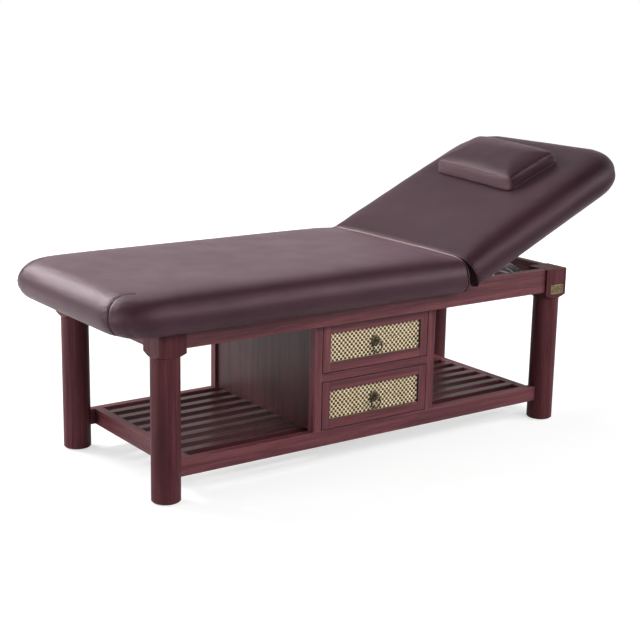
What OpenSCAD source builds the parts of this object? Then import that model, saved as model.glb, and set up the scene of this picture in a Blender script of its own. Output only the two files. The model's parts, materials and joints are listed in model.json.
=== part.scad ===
// Spa bed with a cabinet base: four turned legs, a panelled two-drawer cabinet on a slatted
// shelf, a padded seat and a padded backrest that tilts on a continuous hinge.
// X runs from the foot end to the head end, the drawers face -Y and the floor is Z = 0.

/* [Frame] */
// Distance between the leg axes along the bed
leg_span_x = 1445; // [1200:5:1700]
// Distance between the leg axes across the bed
leg_span_y = 556; // [500:2:640]
// Height of the top edge of the wooden frame
frame_h = 520; // [480:5:600]
// Height of the aprons round the top of the frame
apron_h = 77; // [60:1:90]
// Thickness of the aprons
apron_t = 25; // [18:1:28]
// How far the aprons stand back from the blocks on the legs
apron_setback = 8.5; // [4:0.5:12]

/* [Legs] */
// Diameter of the turned leg
leg_d = 84; // [70:1:86]
// Width of the square block on top of the leg
block_w = 87; // [86:1:100]
// How far the square block drops below the aprons
block_drop = 11; // [4:1:30]
// Height of the cut where the square corners turn into the round leg
shoulder_h = 12; // [6:1:24]

/* [Shelf] */
// Height of the shelf's top face above the floor
shelf_h = 116; // [90:1:160]
// Height of the shelf rails
shelf_rail_h = 48; // [36:1:60]
// Thickness of the long shelf rails
shelf_rail_t = 26; // [20:1:32]
// Thickness of the end rails of the shelf
end_rail_t = 28; // [20:1:36]
// Distance from a leg axis in to the outer face of the end rail
end_rail_inset = 55.5; // [46:0.5:80]
// Number of slats
slat_count = 8; // [4:1:12]
// Width of a slat
slat_w = 26; // [18:1:34]
// Thickness of a slat
slat_t = 18; // [14:1:24]

/* [Cabinet] */
// Width of the cabinet along the bed
cabinet_w = 462; // [400:2:620]
// Width of a corner post
post_w = 29; // [24:1:40]
// Thickness of the side panels
side_t = 12; // [9:1:15]
// How far the side panels stand back from the posts
side_setback = 8; // [4:1:10]
// Thickness of the back panel
back_t = 9; // [6:1:12]
// Height of the rail between the drawers
mid_rail_h = 25; // [18:1:36]

/* [Drawers] */
// Gap round each drawer front
front_gap = 2.5; // [1:0.25:3]
// Thickness of the drawer fronts
front_t = 20; // [18:1:24]
// Width of the frame round each woven panel
front_frame_w = 28.5; // [20:0.5:40]
// How far the drawer sides stay below the top of the drawer fronts
drawer_side_gap = 33; // [20:1:60]
// Thickness of the drawer sides
drawer_side_t = 12; // [9:1:14]
// Depth of the drawer box behind its front
drawer_depth = 500; // [300:5:520]
// Outer diameter of the drop ring
ring_d = 39; // [30:1:46]
// Thickness of the drop ring
ring_wire = 4.4; // [3:0.2:5]
// Diameter of the rosette behind the ring
rosette_d = 34; // [26:1:40]

/* [Pads] */
// Height of the pads above the top of the frame
pad_h = 84; // [76:1:130]
// Width of the pads
pad_w = 754; // [740:2:860]
// Length of the seat pad from the hinge to the foot end
seat_len = 1199; // [1100:1:1300]
// Length of the backrest pad from the hinge to the head end
backrest_len = 749; // [640:1:820]
// How far the padded edge hangs below the top of the frame
pad_drop = 30; // [15:1:36]
// Rise of the pads from their rolled edge to the middle
pad_crown = 5; // [2:0.5:10]
// Radius of the rolled upper edge of the pads
roll_r = 62; // [40:1:66]
// Radius of the seat pad's corners at the foot end, seen from above
foot_corner_r = 130; // [100:1:180]
// Radius of the backrest pad's corners at the head end, seen from above
head_corner_r = 154; // [110:1:200]
// Thickness of the boards under the pads
board_t = 12; // [9:1:18]

/* [Backrest] */
// Angle of the backrest above flat, as it stands
tilt = 24.5; // [0:0.5:50]
// Position of the hinge line from the middle of the frame, towards the head end
hinge_x = 292; // [240:1:330]
// Distance along the backrest from the hinge to the pivot of the support
support_reach = 175; // [160:1:180]
// Length of the support from its pivot to its cross rod
support_len = 195; // [188:1:198]

/* [Pillow] */
// Width of the pillow across the bed
pillow_w = 420; // [300:2:480]
// Depth of the pillow along the bed
pillow_depth = 222; // [160:1:260]
// Thickness of the pillow
pillow_t = 64; // [44:1:90]
// Distance along the backrest from the hinge to the pillow
pillow_reach = 381; // [300:1:440]

/* [Hidden] */

// How far a cut runs past the face that it opens
overrun = 1;
// Fineness of round and of swept surfaces
round_fn = 64;

// Colours of the stained timber, plywood, cover, metals and woven panel
wood = [0.32, 0.13, 0.11];
plywood = [0.62, 0.45, 0.30];
cover = [0.16, 0.12, 0.13];
brass = [0.50, 0.38, 0.22];
steel = [0.70, 0.70, 0.72];
cane = [0.78, 0.68, 0.48];
plastic = [0.12, 0.12, 0.12];

// Leg feet
glide_d = 60;
glide_t = 3;
foot_chamfer = 3;

// Frame joints: tenon thickness, shoulders above and below it, length, and gap round it
tenon_t = 9;
tenon_shoulder = 12;
tenon_len = 30;
tenon_gap = 0.2;
shelf_tenon_t = 10;
shelf_tenon_shoulder = 9;
shelf_tenon_len = 26;
stub_len = 10;

// Frame planes worked out from the leg axes, as half widths from the middle of the bed
leg_x = leg_span_x / 2;
leg_y = leg_span_y / 2;
leg_r = leg_d / 2;
block_r = block_w / 2;
apron_out = block_r - apron_setback;
apron_in_y = leg_y + apron_out - apron_t;
apron_in_x = leg_x + apron_out - apron_t;
apron_z = frame_h - apron_h;
shoulder_z = apron_z - block_drop;

// Cross rails under the boards
cross_rail_h = 50;
cross_rail_t = 25;
hinge_rail_t = 50;
seat_rail_x = -cabinet_w / 2 - cross_rail_t / 2;

// Shelf planes
shelf_rail_y = leg_y - shelf_rail_t / 2;
shelf_end_x = leg_x - end_rail_inset - end_rail_t;
slat_gap = (2 * shelf_rail_y - slat_count * slat_w) / (slat_count + 1);
stub_shoulder = 1.2;
slat_stub_w = slat_w - stub_shoulder;
slat_stub_t = slat_t / 2;

// Cabinet planes: the posts stand on the long rails and reach up behind the aprons
post_t = shelf_rail_t;
post_tongue_h = 40;
cabinet_x = cabinet_w / 2;
cabinet_y = leg_y + shelf_rail_t / 2;
opening_x = cabinet_x - post_w;
post_in_y = cabinet_y - post_t;
side_out_x = cabinet_x - side_setback;
side_in_x = side_out_x - side_t;
panel_tongue = 5;
back_setback = 6;
back_in_y = cabinet_y - back_setback - back_t;
floor_t = 8;
cabinet_top_t = 12;

// Drawer planes
front_h = (apron_z - shelf_h - mid_rail_h - 4 * front_gap) / 2;
lower_front_z = shelf_h + front_gap;
mid_rail_z = lower_front_z + front_h + front_gap;
upper_front_z = mid_rail_z + mid_rail_h + front_gap;
front_x = opening_x - front_gap;
front_back_y = -cabinet_y + front_t;
woven_setback = 6;
rabbet_w = 8;
woven_t = 3;
backing_t = 4;
drawer_side_inset = 2.5;
drawer_side_x = front_x - drawer_side_inset;
drawer_side_drop = 5;
drawer_side_h = front_h - drawer_side_drop - drawer_side_gap;
lower_lift = 8;
drawer_bottom_t = 5;
drawer_groove_z = 8;
drawer_groove_d = 5;
drawer_back_t = 12;
runner_lap = 9;
runner_h = 14;
runner_guide_h = 14;
runner_gap = 0.4;
upper_runner_z = upper_front_z + drawer_side_drop - runner_gap;
lower_runner_z = lower_front_z + drawer_side_drop + lower_lift - runner_gap;

// Pulls: rosette relief, eye and drop ring
rosette_t = 3.5;
rosette_shares = [[0, 0], [1, 0], [1, 0.35], [0.9, 0.8], [0.8, 1], [0.68, 0.5], [0.46, 0.55],
                  [0.4, 1.7], [0, 1.7]];
eye_d = 11;
eye_reach = 11;
eye_gap = 0.9;
ring_r = (ring_d - ring_wire) / 2;
woven_y = -cabinet_y + woven_setback;
eye_y = woven_y - eye_reach;

// Pads: heights are measured from the hinge axis, lengths from the hinge line
hinge_below_top = 5;
hinge_z = frame_h + pad_h - hinge_below_top;
pad_end_gap = 3.6;
pad_end_r = 4;
pad_half_w = pad_w / 2;
recess_gap = 3;
recess_half_w = leg_y + block_r + recess_gap;
end_lip_w = 52.5;
pad_base = frame_h - pad_drop - hinge_z;
board_top = frame_h + board_t - hinge_z;
board_side_gap = 0.5;
rest_gap = 0.3;
under_roll_r = pad_h + pad_drop - pad_crown - roll_r;
crown_shares = [[1.9, 0.65], [3.0, 1]];
roll_steps = 7;
under_steps = 5;
corner_steps = 9;

// Continuous hinge
barrel_d = 6;
barrel_bore = 3.1;
hinge_pin_d = 3;
leaf_t = 1.2;
leaf_h = 52;
knuckle_w = 40;
knuckle_gap = 0.3;
hinge_half_w = recess_half_w - roll_r / 2;
knuckle_count = 2 * floor(hinge_half_w / knuckle_w) + 1;

// Support: brackets under the backrest board, flat arms and a rod in two notched racks
arm_t = 5;
arm_w = 20;
arm_inset = 57;
arm_y = apron_in_y - arm_inset;
rod_d = 12;
rod_gap = 0.05;
pivot_d = 8;
pivot_drop = 14;
bracket_t = 4;
bracket_len = 46;
bracket_flange = 24;
rack_t = 4;
rack_h = 40;
rack_notch_d = 10;
rack_pitch = 26;
rack_notches = 5;
rack_end = 14;
rack_side_gap = 0.4;
rack_rod_gap = 0.3;
rack_drop = 28;
rack_top = frame_h - rack_drop;
rod_z = rack_top - rack_notch_d + rod_d / 2 + rack_rod_gap;

// Where the support stands with the backrest at its angle
pivot_low = frame_h - pivot_drop - hinge_z;
pivot_x = hinge_x + support_reach * cos(tilt) - pivot_low * sin(tilt);
pivot_z = hinge_z + support_reach * sin(tilt) + pivot_low * cos(tilt);
arm_angle = asin((pivot_z - rod_z) / support_len);
rod_x = pivot_x + support_len * cos(arm_angle);

// Pillow profile: share of the edge roll and share of the height
pillow_roll = 16;
pillow_corner_r = 20;
pillow_turn = 5;
pillow_aside = 7;
pillow_lift = 0.3;
pillow_crown = 14;
pillow_profile_shares = [[0.5, 0], [0.1, 0.05], [0, 0.13], [0.24, 0.5], [0.2, 0.82],
                         [0.18, 0.88], [0.34, 0.95], [0.85, 1]];
pillow_crown_shares = [[2.6, 0.6], [4.6, 1]];

// Rings of points round a pad, from its underside over the rolled edge to the crown
function pad_profile() = concat(
    [for (i = [0 : under_steps - 1]) let (a = 90 - 90 * i / under_steps)
        [under_roll_r * (1 - cos(a)), pad_base + under_roll_r * (1 - sin(a))]],
    [for (i = [0 : roll_steps]) let (a = 90 * i / roll_steps)
        [roll_r * (1 - cos(a)), pad_base + under_roll_r + roll_r * sin(a)]],
    [for (s = crown_shares)
        [roll_r * s[0], pad_base + under_roll_r + roll_r + pad_crown * s[1]]]);

function end_inset(z) = max(0, z - (hinge_below_top - pad_crown - pad_end_r))
    * pad_end_r / (pad_end_r + pad_crown);

function pad_ring(len, corner_r, inset, z) =
    let (r = max(corner_r - inset, pad_end_r), x = len - inset - r, y = pad_half_w - inset - r)
    concat([[pad_end_gap + end_inset(z), inset - pad_half_w, z]],
        [for (i = [0 : corner_steps]) let (a = 90 * i / corner_steps - 90)
            [x + r * cos(a), -y + r * sin(a), z]],
        [for (i = [0 : corner_steps]) let (a = 90 * i / corner_steps)
            [x + r * cos(a), y + r * sin(a), z]],
        [[pad_end_gap + end_inset(z), pad_half_w - inset, z]]);

// A closed skin over stacked rings, with a fan of triangles over the first and last ring
module ring_skin(rings) {
    n = len(rings[0]);
    top = (len(rings) - 1) * n;
    points = [for (ring = rings, p = ring) p];
    sides = [for (k = [0 : len(rings) - 2], i = [0 : n - 1])
        let (a = k * n + i, b = k * n + (i + 1) % n) each [[a, a + n, b], [b, a + n, b + n]]];
    base_fan = [for (i = [1 : n - 2]) [0, i, i + 1]];
    top_fan = [for (i = [1 : n - 2]) [top, top + i + 1, top + i]];
    polyhedron(points, concat(sides, base_fan, top_fan));
}

// Outline of a board: square at the hinge end, rounded at the other end
module board_outline(len, half_w, r) {
    translate([pad_end_gap, -half_w]) square([len - r - pad_end_gap, 2 * half_w]);
    translate([pad_end_gap, r - half_w]) square([len - pad_end_gap, 2 * (half_w - r)]);
    for (side = [-1, 1])
        translate([len - r, side * (half_w - r)]) circle(r, $fn = round_fn);
}

// A pad with the hollow that its board and the top of the frame fit into
module pad(len, corner_r) {
    difference() {
        ring_skin([for (s = pad_profile()) pad_ring(len, corner_r, s[0], s[1])]);
        translate([0, 0, pad_base - overrun]) linear_extrude(board_top - pad_base + overrun)
            translate([-overrun - pad_end_gap, 0])
                board_outline(len - end_lip_w + overrun + pad_end_gap, recess_half_w,
                              corner_r - end_lip_w);
    }
}

module pad_board(len, corner_r, lift) {
    translate([0, 0, board_top - board_t + lift]) linear_extrude(board_t - lift)
        board_outline(len - end_lip_w - board_side_gap, recess_half_w - board_side_gap,
                      corner_r - end_lip_w);
}

// Origin: the middle of the whole bed's outline on the floor
function turned_x(p) = p[0] * cos(tilt) - p[2] * sin(tilt);
head_reach = max([for (s = pad_profile(), p = pad_ring(backrest_len, head_corner_r, s[0], s[1]))
    turned_x(p)]);
origin_x = hinge_x + (head_reach - seat_len) / 2;

module on_floor() {
    translate([-origin_x, 0, 0]) children();
}

module at_seat() {
    on_floor() translate([hinge_x, 0, hinge_z]) mirror([1, 0, 0]) children();
}

module at_backrest() {
    on_floor() translate([hinge_x, 0, hinge_z]) rotate([0, -tilt, 0]) children();
}

// A box given by its low and high corners
module block(low, high) {
    translate(low) cube(high - low);
}

// Legs: turned below a square block, with mortises for two aprons and one shelf rail
module leg_blank() {
    intersection() {
        rotate_extrude($fn = round_fn)
            polygon([[0, glide_t], [leg_r - foot_chamfer, glide_t],
                     [leg_r, glide_t + foot_chamfer], [leg_r, shoulder_z - shoulder_h],
                     [block_w, shoulder_z - shoulder_h + (block_w - leg_r) / (sqrt(2) * block_r
                      - leg_r) * shoulder_h], [block_w, frame_h], [0, frame_h]]);
        block([-block_r, -block_r, 0], [block_r, block_r, frame_h]);
    }
}

module leg_local() {
    difference() {
        leg_blank();
        apron_tenon(tenon_gap, overrun);
        mirror([1, -1, 0]) apron_tenon(tenon_gap, overrun);
        shelf_tenon(tenon_gap);
    }
}

// Tenon of a long apron, in the leg's own corner: inwards is +X and +Y
module apron_tenon(gap, past) {
    mid_y = apron_t / 2 - apron_out;
    block([block_r - tenon_len - gap, mid_y - tenon_t / 2 - gap, apron_z + tenon_shoulder - gap],
          [block_r + past, mid_y + tenon_t / 2 + gap, frame_h - tenon_shoulder + gap]);
}

module shelf_tenon(gap) {
    block([leg_r - shelf_tenon_len - gap, -shelf_tenon_t / 2 - gap,
           shelf_h - shelf_rail_h + shelf_tenon_shoulder - gap],
          [leg_r + overrun, shelf_tenon_t / 2 + gap, shelf_h - shelf_tenon_shoulder + gap]);
}

// Puts something drawn in a leg's own corner at one of the four legs
module at_leg(head, back) {
    on_floor() mirror([head ? 1 : 0, 0, 0]) mirror([0, back ? 1 : 0, 0])
        translate([-leg_x, -leg_y, 0]) children();
}

module leg(head, back) {
    color(wood) at_leg(head, back) leg_local();
}

module leg_front_foot() { leg(false, false); }
module leg_front_head() { leg(true, false); }
module leg_back_foot() { leg(false, true); }
module leg_back_head() { leg(true, true); }

module foot_glides() {
    color(plastic) for (head = [false, true], back = [false, true])
        at_leg(head, back) cylinder(d = glide_d, h = glide_t, $fn = round_fn);
}

// Aprons: between the blocks, with a tenon at each end
module long_apron() {
    for (head = [false, true]) mirror([head ? 1 : 0, 0, 0])
        translate([-leg_x, -leg_y, 0]) apron_tenon(0, overrun);
    block([block_r - leg_x, -leg_y - apron_out, apron_z],
          [leg_x - block_r, -apron_in_y, frame_h]);
}

module short_apron() {
    for (back = [false, true]) mirror([0, back ? 1 : 0, 0])
        translate([-leg_x, -leg_y, 0]) mirror([1, -1, 0]) apron_tenon(0, overrun);
    block([-leg_x - apron_out, block_r - leg_y, apron_z],
          [-apron_in_x, leg_y - block_r, frame_h]);
}

module apron_front() { color(wood) on_floor() long_apron(); }
module apron_back() { color(wood) on_floor() mirror([0, 1, 0]) long_apron(); }
module apron_foot() { color(wood) on_floor() short_apron(); }
module apron_head() { color(wood) on_floor() mirror([1, 0, 0]) short_apron(); }

module cross_rail(mid_x, thick) {
    color(wood) on_floor()
        block([mid_x - thick / 2, -apron_in_y, frame_h - cross_rail_h],
              [mid_x + thick / 2, apron_in_y, frame_h]);
}

module seat_cross_rail() { cross_rail(seat_rail_x, cross_rail_t); }
module hinge_cross_rail() { cross_rail(hinge_x, hinge_rail_t); }

// Shelf: long rails coped to the round legs, end rails between them and lengthwise slats
module long_shelf_rail() {
    difference() {
        block([-leg_x, -leg_y - shelf_rail_t / 2, shelf_h - shelf_rail_h],
              [leg_x, -shelf_rail_y, shelf_h]);
        for (side = [-1, 1])
            translate([side * leg_x, -leg_y, shelf_h - shelf_rail_h - overrun])
                cylinder(r = leg_r + tenon_gap, h = shelf_rail_h + 2 * overrun, $fn = round_fn);
        for (head = [0, 1]) mirror([head, 0, 0]) end_rail_stub(tenon_gap);
    }
    for (head = [0, 1]) mirror([head, 0, 0]) translate([-leg_x, -leg_y, 0]) shelf_tenon(0);
}

module end_rail_stub(gap) {
    x = -leg_x + end_rail_inset + end_rail_t / 2;
    block([x - shelf_tenon_t / 2 - gap, -shelf_rail_y - stub_len - gap,
           shelf_h - shelf_rail_h + shelf_tenon_shoulder - gap],
          [x + shelf_tenon_t / 2 + gap, -shelf_rail_y + overrun,
           shelf_h - shelf_tenon_shoulder + gap]);
}

module slat_stubs(gap) {
    for (i = [1 : slat_count])
        block([-shelf_end_x - stub_len - gap, slat_y(i) - slat_stub_w / 2 - gap,
               shelf_h - slat_t + (slat_t - slat_stub_t) / 2 - gap],
              [-shelf_end_x + overrun, slat_y(i) + slat_stub_w / 2 + gap,
               shelf_h - (slat_t - slat_stub_t) / 2 + gap]);
}

function slat_y(i) = -shelf_rail_y + i * (slat_gap + slat_w) - slat_w / 2;

module end_shelf_rail() {
    difference() {
        union() {
            block([-shelf_end_x - end_rail_t, -shelf_rail_y, shelf_h - shelf_rail_h],
                  [-shelf_end_x, shelf_rail_y, shelf_h]);
            end_rail_stub(0);
            mirror([0, 1, 0]) end_rail_stub(0);
        }
        slat_stubs(tenon_gap);
    }
}

module shelf_rail_front() { color(wood) on_floor() long_shelf_rail(); }
module shelf_rail_back() { color(wood) on_floor() mirror([0, 1, 0]) long_shelf_rail(); }
module shelf_rail_foot() { color(wood) on_floor() end_shelf_rail(); }
module shelf_rail_head() { color(wood) on_floor() mirror([1, 0, 0]) end_shelf_rail(); }

module shelf_slats() {
    color(wood) on_floor() {
        for (i = [1 : slat_count])
            block([-shelf_end_x, slat_y(i) - slat_w / 2, shelf_h - slat_t],
                  [shelf_end_x, slat_y(i) + slat_w / 2, shelf_h]);
        for (head = [0, 1]) mirror([head, 0, 0]) slat_stubs(0);
    }
}

// Cabinet posts: the upper end is rebated to stand behind the apron
module post_local() {
    difference() {
        union() {
            block([-cabinet_x, -cabinet_y, shelf_h], [-opening_x, -post_in_y, apron_z]);
            block([-cabinet_x, -apron_in_y, shelf_h],
                  [-opening_x, -post_in_y, apron_z + post_tongue_h]);
        }
        block([-side_out_x, -post_in_y - panel_tongue - tenon_gap, shelf_h - overrun],
              [-side_in_x, -post_in_y + overrun, apron_z + tenon_gap]);
    }
}

module cabinet_post(head, back) {
    color(wood) on_floor() mirror([head, 0, 0]) mirror([0, back, 0]) difference() {
        post_local();
        if (back == 1)
            block([-opening_x - panel_tongue - tenon_gap, -cabinet_y + back_setback,
                   shelf_h - overrun],
                  [-opening_x + overrun, -back_in_y, apron_z + tenon_gap]);
    }
}

module cabinet_post_front_foot() { cabinet_post(0, 0); }
module cabinet_post_front_head() { cabinet_post(1, 0); }
module cabinet_post_back_foot() { cabinet_post(0, 1); }
module cabinet_post_back_head() { cabinet_post(1, 1); }

module side_panel() {
    block([-side_out_x, -post_in_y - panel_tongue, shelf_h],
          [-side_in_x, post_in_y + panel_tongue, apron_z]);
}

module cabinet_side_foot() { color(wood) on_floor() side_panel(); }
module cabinet_side_head() { color(wood) on_floor() mirror([1, 0, 0]) side_panel(); }

module cabinet_back_panel() {
    color(wood) on_floor()
        block([-opening_x - panel_tongue, back_in_y, shelf_h],
              [opening_x + panel_tongue, back_in_y + back_t, apron_z]);
}

module cabinet_mid_rail() {
    color(wood) on_floor()
        block([-opening_x, -cabinet_y, mid_rail_z],
              [opening_x, -post_in_y, mid_rail_z + mid_rail_h]);
}

module cabinet_floor() {
    color(plywood) on_floor()
        block([-opening_x, front_back_y + front_gap, shelf_h],
              [opening_x, back_in_y, shelf_h + floor_t]);
}

module cabinet_top() {
    color(plywood) on_floor() difference() {
        block([-cabinet_x, -apron_in_y, apron_z], [cabinet_x, apron_in_y, apron_z + cabinet_top_t]);
        for (x = [0, 1], y = [0, 1]) mirror([x, 0, 0]) mirror([0, y, 0])
            block([-cabinet_x - overrun, -apron_in_y - overrun, apron_z - overrun],
                  [-opening_x + tenon_gap, -post_in_y + tenon_gap,
                   apron_z + cabinet_top_t + overrun]);
    }
}

// Drawer runners: an angle on each side panel that carries and guides a drawer side
module runner(top_z, h) {
    guide_x = drawer_side_x + runner_gap;
    color(plywood) on_floor() for (head = [0, 1]) mirror([head, 0, 0])
        translate([0, post_in_y, 0]) rotate([90, 0, 0]) linear_extrude(2 * post_in_y)
            polygon([[-side_in_x, top_z - h], [-drawer_side_x + runner_lap, top_z - h],
                     [-drawer_side_x + runner_lap, top_z], [-guide_x, top_z],
                     [-guide_x, top_z + runner_guide_h], [-side_in_x, top_z + runner_guide_h]]);
}

module drawer_runners() {
    runner(upper_runner_z, runner_h);
    runner(lower_runner_z, lower_runner_z - shelf_h - floor_t);
}

// Drawer parts, drawn from the lower edge of the drawer front
module drawer_front(z) {
    color(wood) on_floor() translate([0, 0, z]) difference() {
        block([-front_x, -cabinet_y, 0], [front_x, front_back_y, front_h]);
        woven_opening(0, -cabinet_y - overrun, front_back_y + overrun);
        woven_opening(rabbet_w, woven_y, front_back_y + overrun);
    }
}

// A block as large as the opening in a drawer front, grown by some width on each side
module woven_opening(grow, y0, y1) {
    block([front_frame_w - front_x - grow, y0, front_frame_w - grow],
          [front_x - front_frame_w + grow, y1, front_h - front_frame_w + grow]);
}

module drawer_woven_panel(z) {
    color(cane) on_floor() translate([0, 0, z])
        woven_opening(rabbet_w - tenon_gap, woven_y, woven_y + woven_t);
}

module drawer_backing(z) {
    color(plywood) on_floor() translate([0, 0, z])
        woven_opening(rabbet_w - tenon_gap, woven_y + woven_t, front_back_y);
}

module drawer_sides(z, lift) {
    color(plywood) on_floor() for (head = [0, 1]) mirror([head, 0, 0])
        translate([0, front_back_y, z + drawer_side_drop + lift]) difference() {
            block([-drawer_side_x, 0, 0],
                  [drawer_side_t - drawer_side_x, drawer_depth, drawer_side_h]);
            block([drawer_side_t - drawer_side_x - drawer_groove_d - tenon_gap, -overrun,
                   drawer_groove_z - tenon_gap],
                  [drawer_side_t - drawer_side_x + overrun, drawer_depth + overrun,
                   drawer_groove_z + drawer_bottom_t + tenon_gap]);
        }
}

module drawer_back(z, lift) {
    color(plywood) on_floor() translate([0, front_back_y, z + drawer_side_drop + lift])
        block([drawer_side_t - drawer_side_x, drawer_depth - drawer_back_t,
               drawer_groove_z + drawer_bottom_t],
              [drawer_side_x - drawer_side_t, drawer_depth, drawer_side_h]);
}

module drawer_bottom(z, lift) {
    reach = drawer_side_x - drawer_side_t + drawer_groove_d;
    color(plywood) on_floor() translate([0, front_back_y, z + drawer_side_drop + lift])
        block([-reach, 0, drawer_groove_z],
              [reach, drawer_depth, drawer_groove_z + drawer_bottom_t]);
}

// Rosette: a turned back plate with a bead, a boss and an eye bored across for the ring
module rosette(z) {
    color(brass) on_floor() translate([0, woven_y, z + front_h / 2]) difference() {
        rotate([90, 0, 0]) {
            rotate_extrude($fn = round_fn)
                polygon([for (s = rosette_shares) [s[0] * rosette_d / 2, s[1] * rosette_t]]);
            cylinder(d = eye_d, h = eye_reach, $fn = round_fn);
            translate([0, 0, eye_reach]) sphere(d = eye_d, $fn = round_fn);
        }
        translate([0, -eye_reach, 0]) rotate([0, 90, 0])
            cylinder(r = ring_wire / 2 + eye_gap, h = rosette_d, center = true, $fn = round_fn);
    }
}

module drop_ring(z) {
    color(brass) on_floor() translate([0, eye_y, z + front_h / 2 - ring_r]) rotate([90, 0, 0])
        rotate_extrude($fn = round_fn) translate([ring_r, 0]) circle(d = ring_wire, $fn = round_fn);
}

module drawer_upper_front() { drawer_front(upper_front_z); }
module drawer_upper_woven_panel() { drawer_woven_panel(upper_front_z); }
module drawer_upper_backing() { drawer_backing(upper_front_z); }
module drawer_upper_sides() { drawer_sides(upper_front_z, 0); }
module drawer_upper_back() { drawer_back(upper_front_z, 0); }
module drawer_upper_bottom() { drawer_bottom(upper_front_z, 0); }
module drawer_upper_rosette() { rosette(upper_front_z); }
module drawer_upper_ring() { drop_ring(upper_front_z); }
module drawer_lower_front() { drawer_front(lower_front_z); }
module drawer_lower_woven_panel() { drawer_woven_panel(lower_front_z); }
module drawer_lower_backing() { drawer_backing(lower_front_z); }
module drawer_lower_sides() { drawer_sides(lower_front_z, lower_lift); }
module drawer_lower_back() { drawer_back(lower_front_z, lower_lift); }
module drawer_lower_bottom() { drawer_bottom(lower_front_z, lower_lift); }
module drawer_lower_rosette() { rosette(lower_front_z); }
module drawer_lower_ring() { drop_ring(lower_front_z); }

// Boards and pads of the seat and of the backrest
module seat_board() { color(plywood) at_seat() pad_board(seat_len, foot_corner_r, 0); }
module seat_pad() { color(cover) at_seat() pad(seat_len, foot_corner_r); }
module backrest_board() {
    color(plywood) at_backrest() pad_board(backrest_len, head_corner_r, rest_gap);
}
module backrest_pad() { color(cover) at_backrest() pad(backrest_len, head_corner_r); }

// Pillow: a boxed cushion with drawn-in sides, turned a little on the backrest
function pillow_ring(inset, z) =
    let (r = max(pillow_corner_r - inset, pad_end_r), x = pillow_depth / 2 - inset - r,
         y = pillow_w / 2 - inset - r)
    [for (q = [0 : 3], i = [0 : corner_steps]) let (a = 90 * q + 90 * i / corner_steps)
        [(q == 0 || q == 3 ? x : -x) + r * cos(a), (q < 2 ? y : -y) + r * sin(a), z]];

module pillow() {
    side_h = pillow_t - pillow_crown;
    color(cover) at_backrest()
        translate([pillow_reach + pillow_depth / 2, pillow_aside, hinge_below_top + pillow_lift])
            rotate([0, 0, -pillow_turn])
                ring_skin(concat(
                    [for (s = pillow_profile_shares)
                        pillow_ring(pillow_roll * s[0], side_h * s[1])],
                    [for (s = pillow_crown_shares)
                        pillow_ring(pillow_roll * s[0], side_h + pillow_crown * s[1])]));
}

// Continuous hinge: leaves upright in the joint between the pads, knuckles in turn
module hinge_leaf(first) {
    pitch = 2 * hinge_half_w / knuckle_count;
    difference() {
        union() {
            block([pad_end_gap - leaf_t, -hinge_half_w, -leaf_h],
                  [pad_end_gap, hinge_half_w, -barrel_d / 2]);
            for (i = [first : 2 : knuckle_count - 1])
                translate([0, i * pitch - hinge_half_w + knuckle_gap / 2, 0]) {
                    rotate([-90, 0, 0])
                        cylinder(d = barrel_d, h = pitch - knuckle_gap, $fn = round_fn);
                    block([pad_end_gap - leaf_t, 0, -barrel_d], [pad_end_gap - leaf_t / 4,
                          pitch - knuckle_gap, 0]);
                }
        }
        rotate([90, 0, 0])
            cylinder(d = barrel_bore, h = 2 * hinge_half_w + overrun, center = true,
                     $fn = round_fn);
    }
}

module hinge_leaf_seat() { color(steel) at_seat() hinge_leaf(0); }
module hinge_leaf_backrest() { color(steel) at_backrest() hinge_leaf(1); }
module hinge_pin() {
    color(steel) at_seat() rotate([90, 0, 0])
        cylinder(d = hinge_pin_d, h = 2 * hinge_half_w, center = true, $fn = round_fn);
}

// Racks on the inner faces of the aprons, with a row of notches for the rod
module rack() {
    head_x = rod_x + rod_d / 2 + rack_end - overrun;
    foot_x = rod_x - (rack_notches - 1) * rack_pitch - rod_d / 2 - rack_end;
    translate([0, rack_t - apron_in_y, 0]) rotate([90, 0, 0]) linear_extrude(rack_t)
        polygon(concat(
            [[foot_x, rack_top - rack_h], [head_x, rack_top - rack_h], [head_x, rack_top]],
            [for (i = [0 : rack_notches - 1]) let (x = rod_x - i * rack_pitch) each
                [[x + rod_d / 2 + rack_rod_gap, rack_top],
                 [x + rod_d / 2 + rack_rod_gap, rack_top - rack_notch_d + rod_d / 3],
                 [x + rod_d / 4, rack_top - rack_notch_d],
                 [x - rod_d / 4, rack_top - rack_notch_d],
                 [x - rod_d / 2 - rack_rod_gap, rack_top - rack_notch_d + rod_d / 3],
                 [x - rod_d, rack_top]]],
            [[foot_x, rack_top]]));
}

module support_rack_front() { color(steel) on_floor() rack(); }
module support_rack_back() { color(steel) on_floor() mirror([0, 1, 0]) rack(); }

// Brackets under the backrest board: a flange and an ear with a bore for the pivot pin
module support_brackets() {
    ear_y = arm_y - arm_t / 2 - rack_side_gap - bracket_t;
    under = board_top - board_t + rest_gap;
    color(steel) at_backrest() for (back = [0, 1]) mirror([0, back, 0]) difference() {
        union() {
            block([support_reach - bracket_len / 2, -ear_y - bracket_t, under - bracket_t],
                  [support_reach + bracket_len / 2, bracket_flange - ear_y - bracket_t, under]);
            block([support_reach - arm_w / 2, -ear_y - bracket_t, pivot_low],
                  [support_reach + arm_w / 2, -ear_y, under]);
            translate([support_reach, -ear_y - bracket_t, pivot_low]) rotate([-90, 0, 0])
                cylinder(d = arm_w, h = bracket_t, $fn = round_fn);
        }
        pivot_bore();
    }
}

module pivot_bore() {
    translate([support_reach, 0, pivot_low]) rotate([90, 0, 0])
        cylinder(r = pivot_d / 2 + rod_gap, h = 2 * arm_y + pivot_d * 2, center = true,
                 $fn = round_fn);
}

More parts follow.
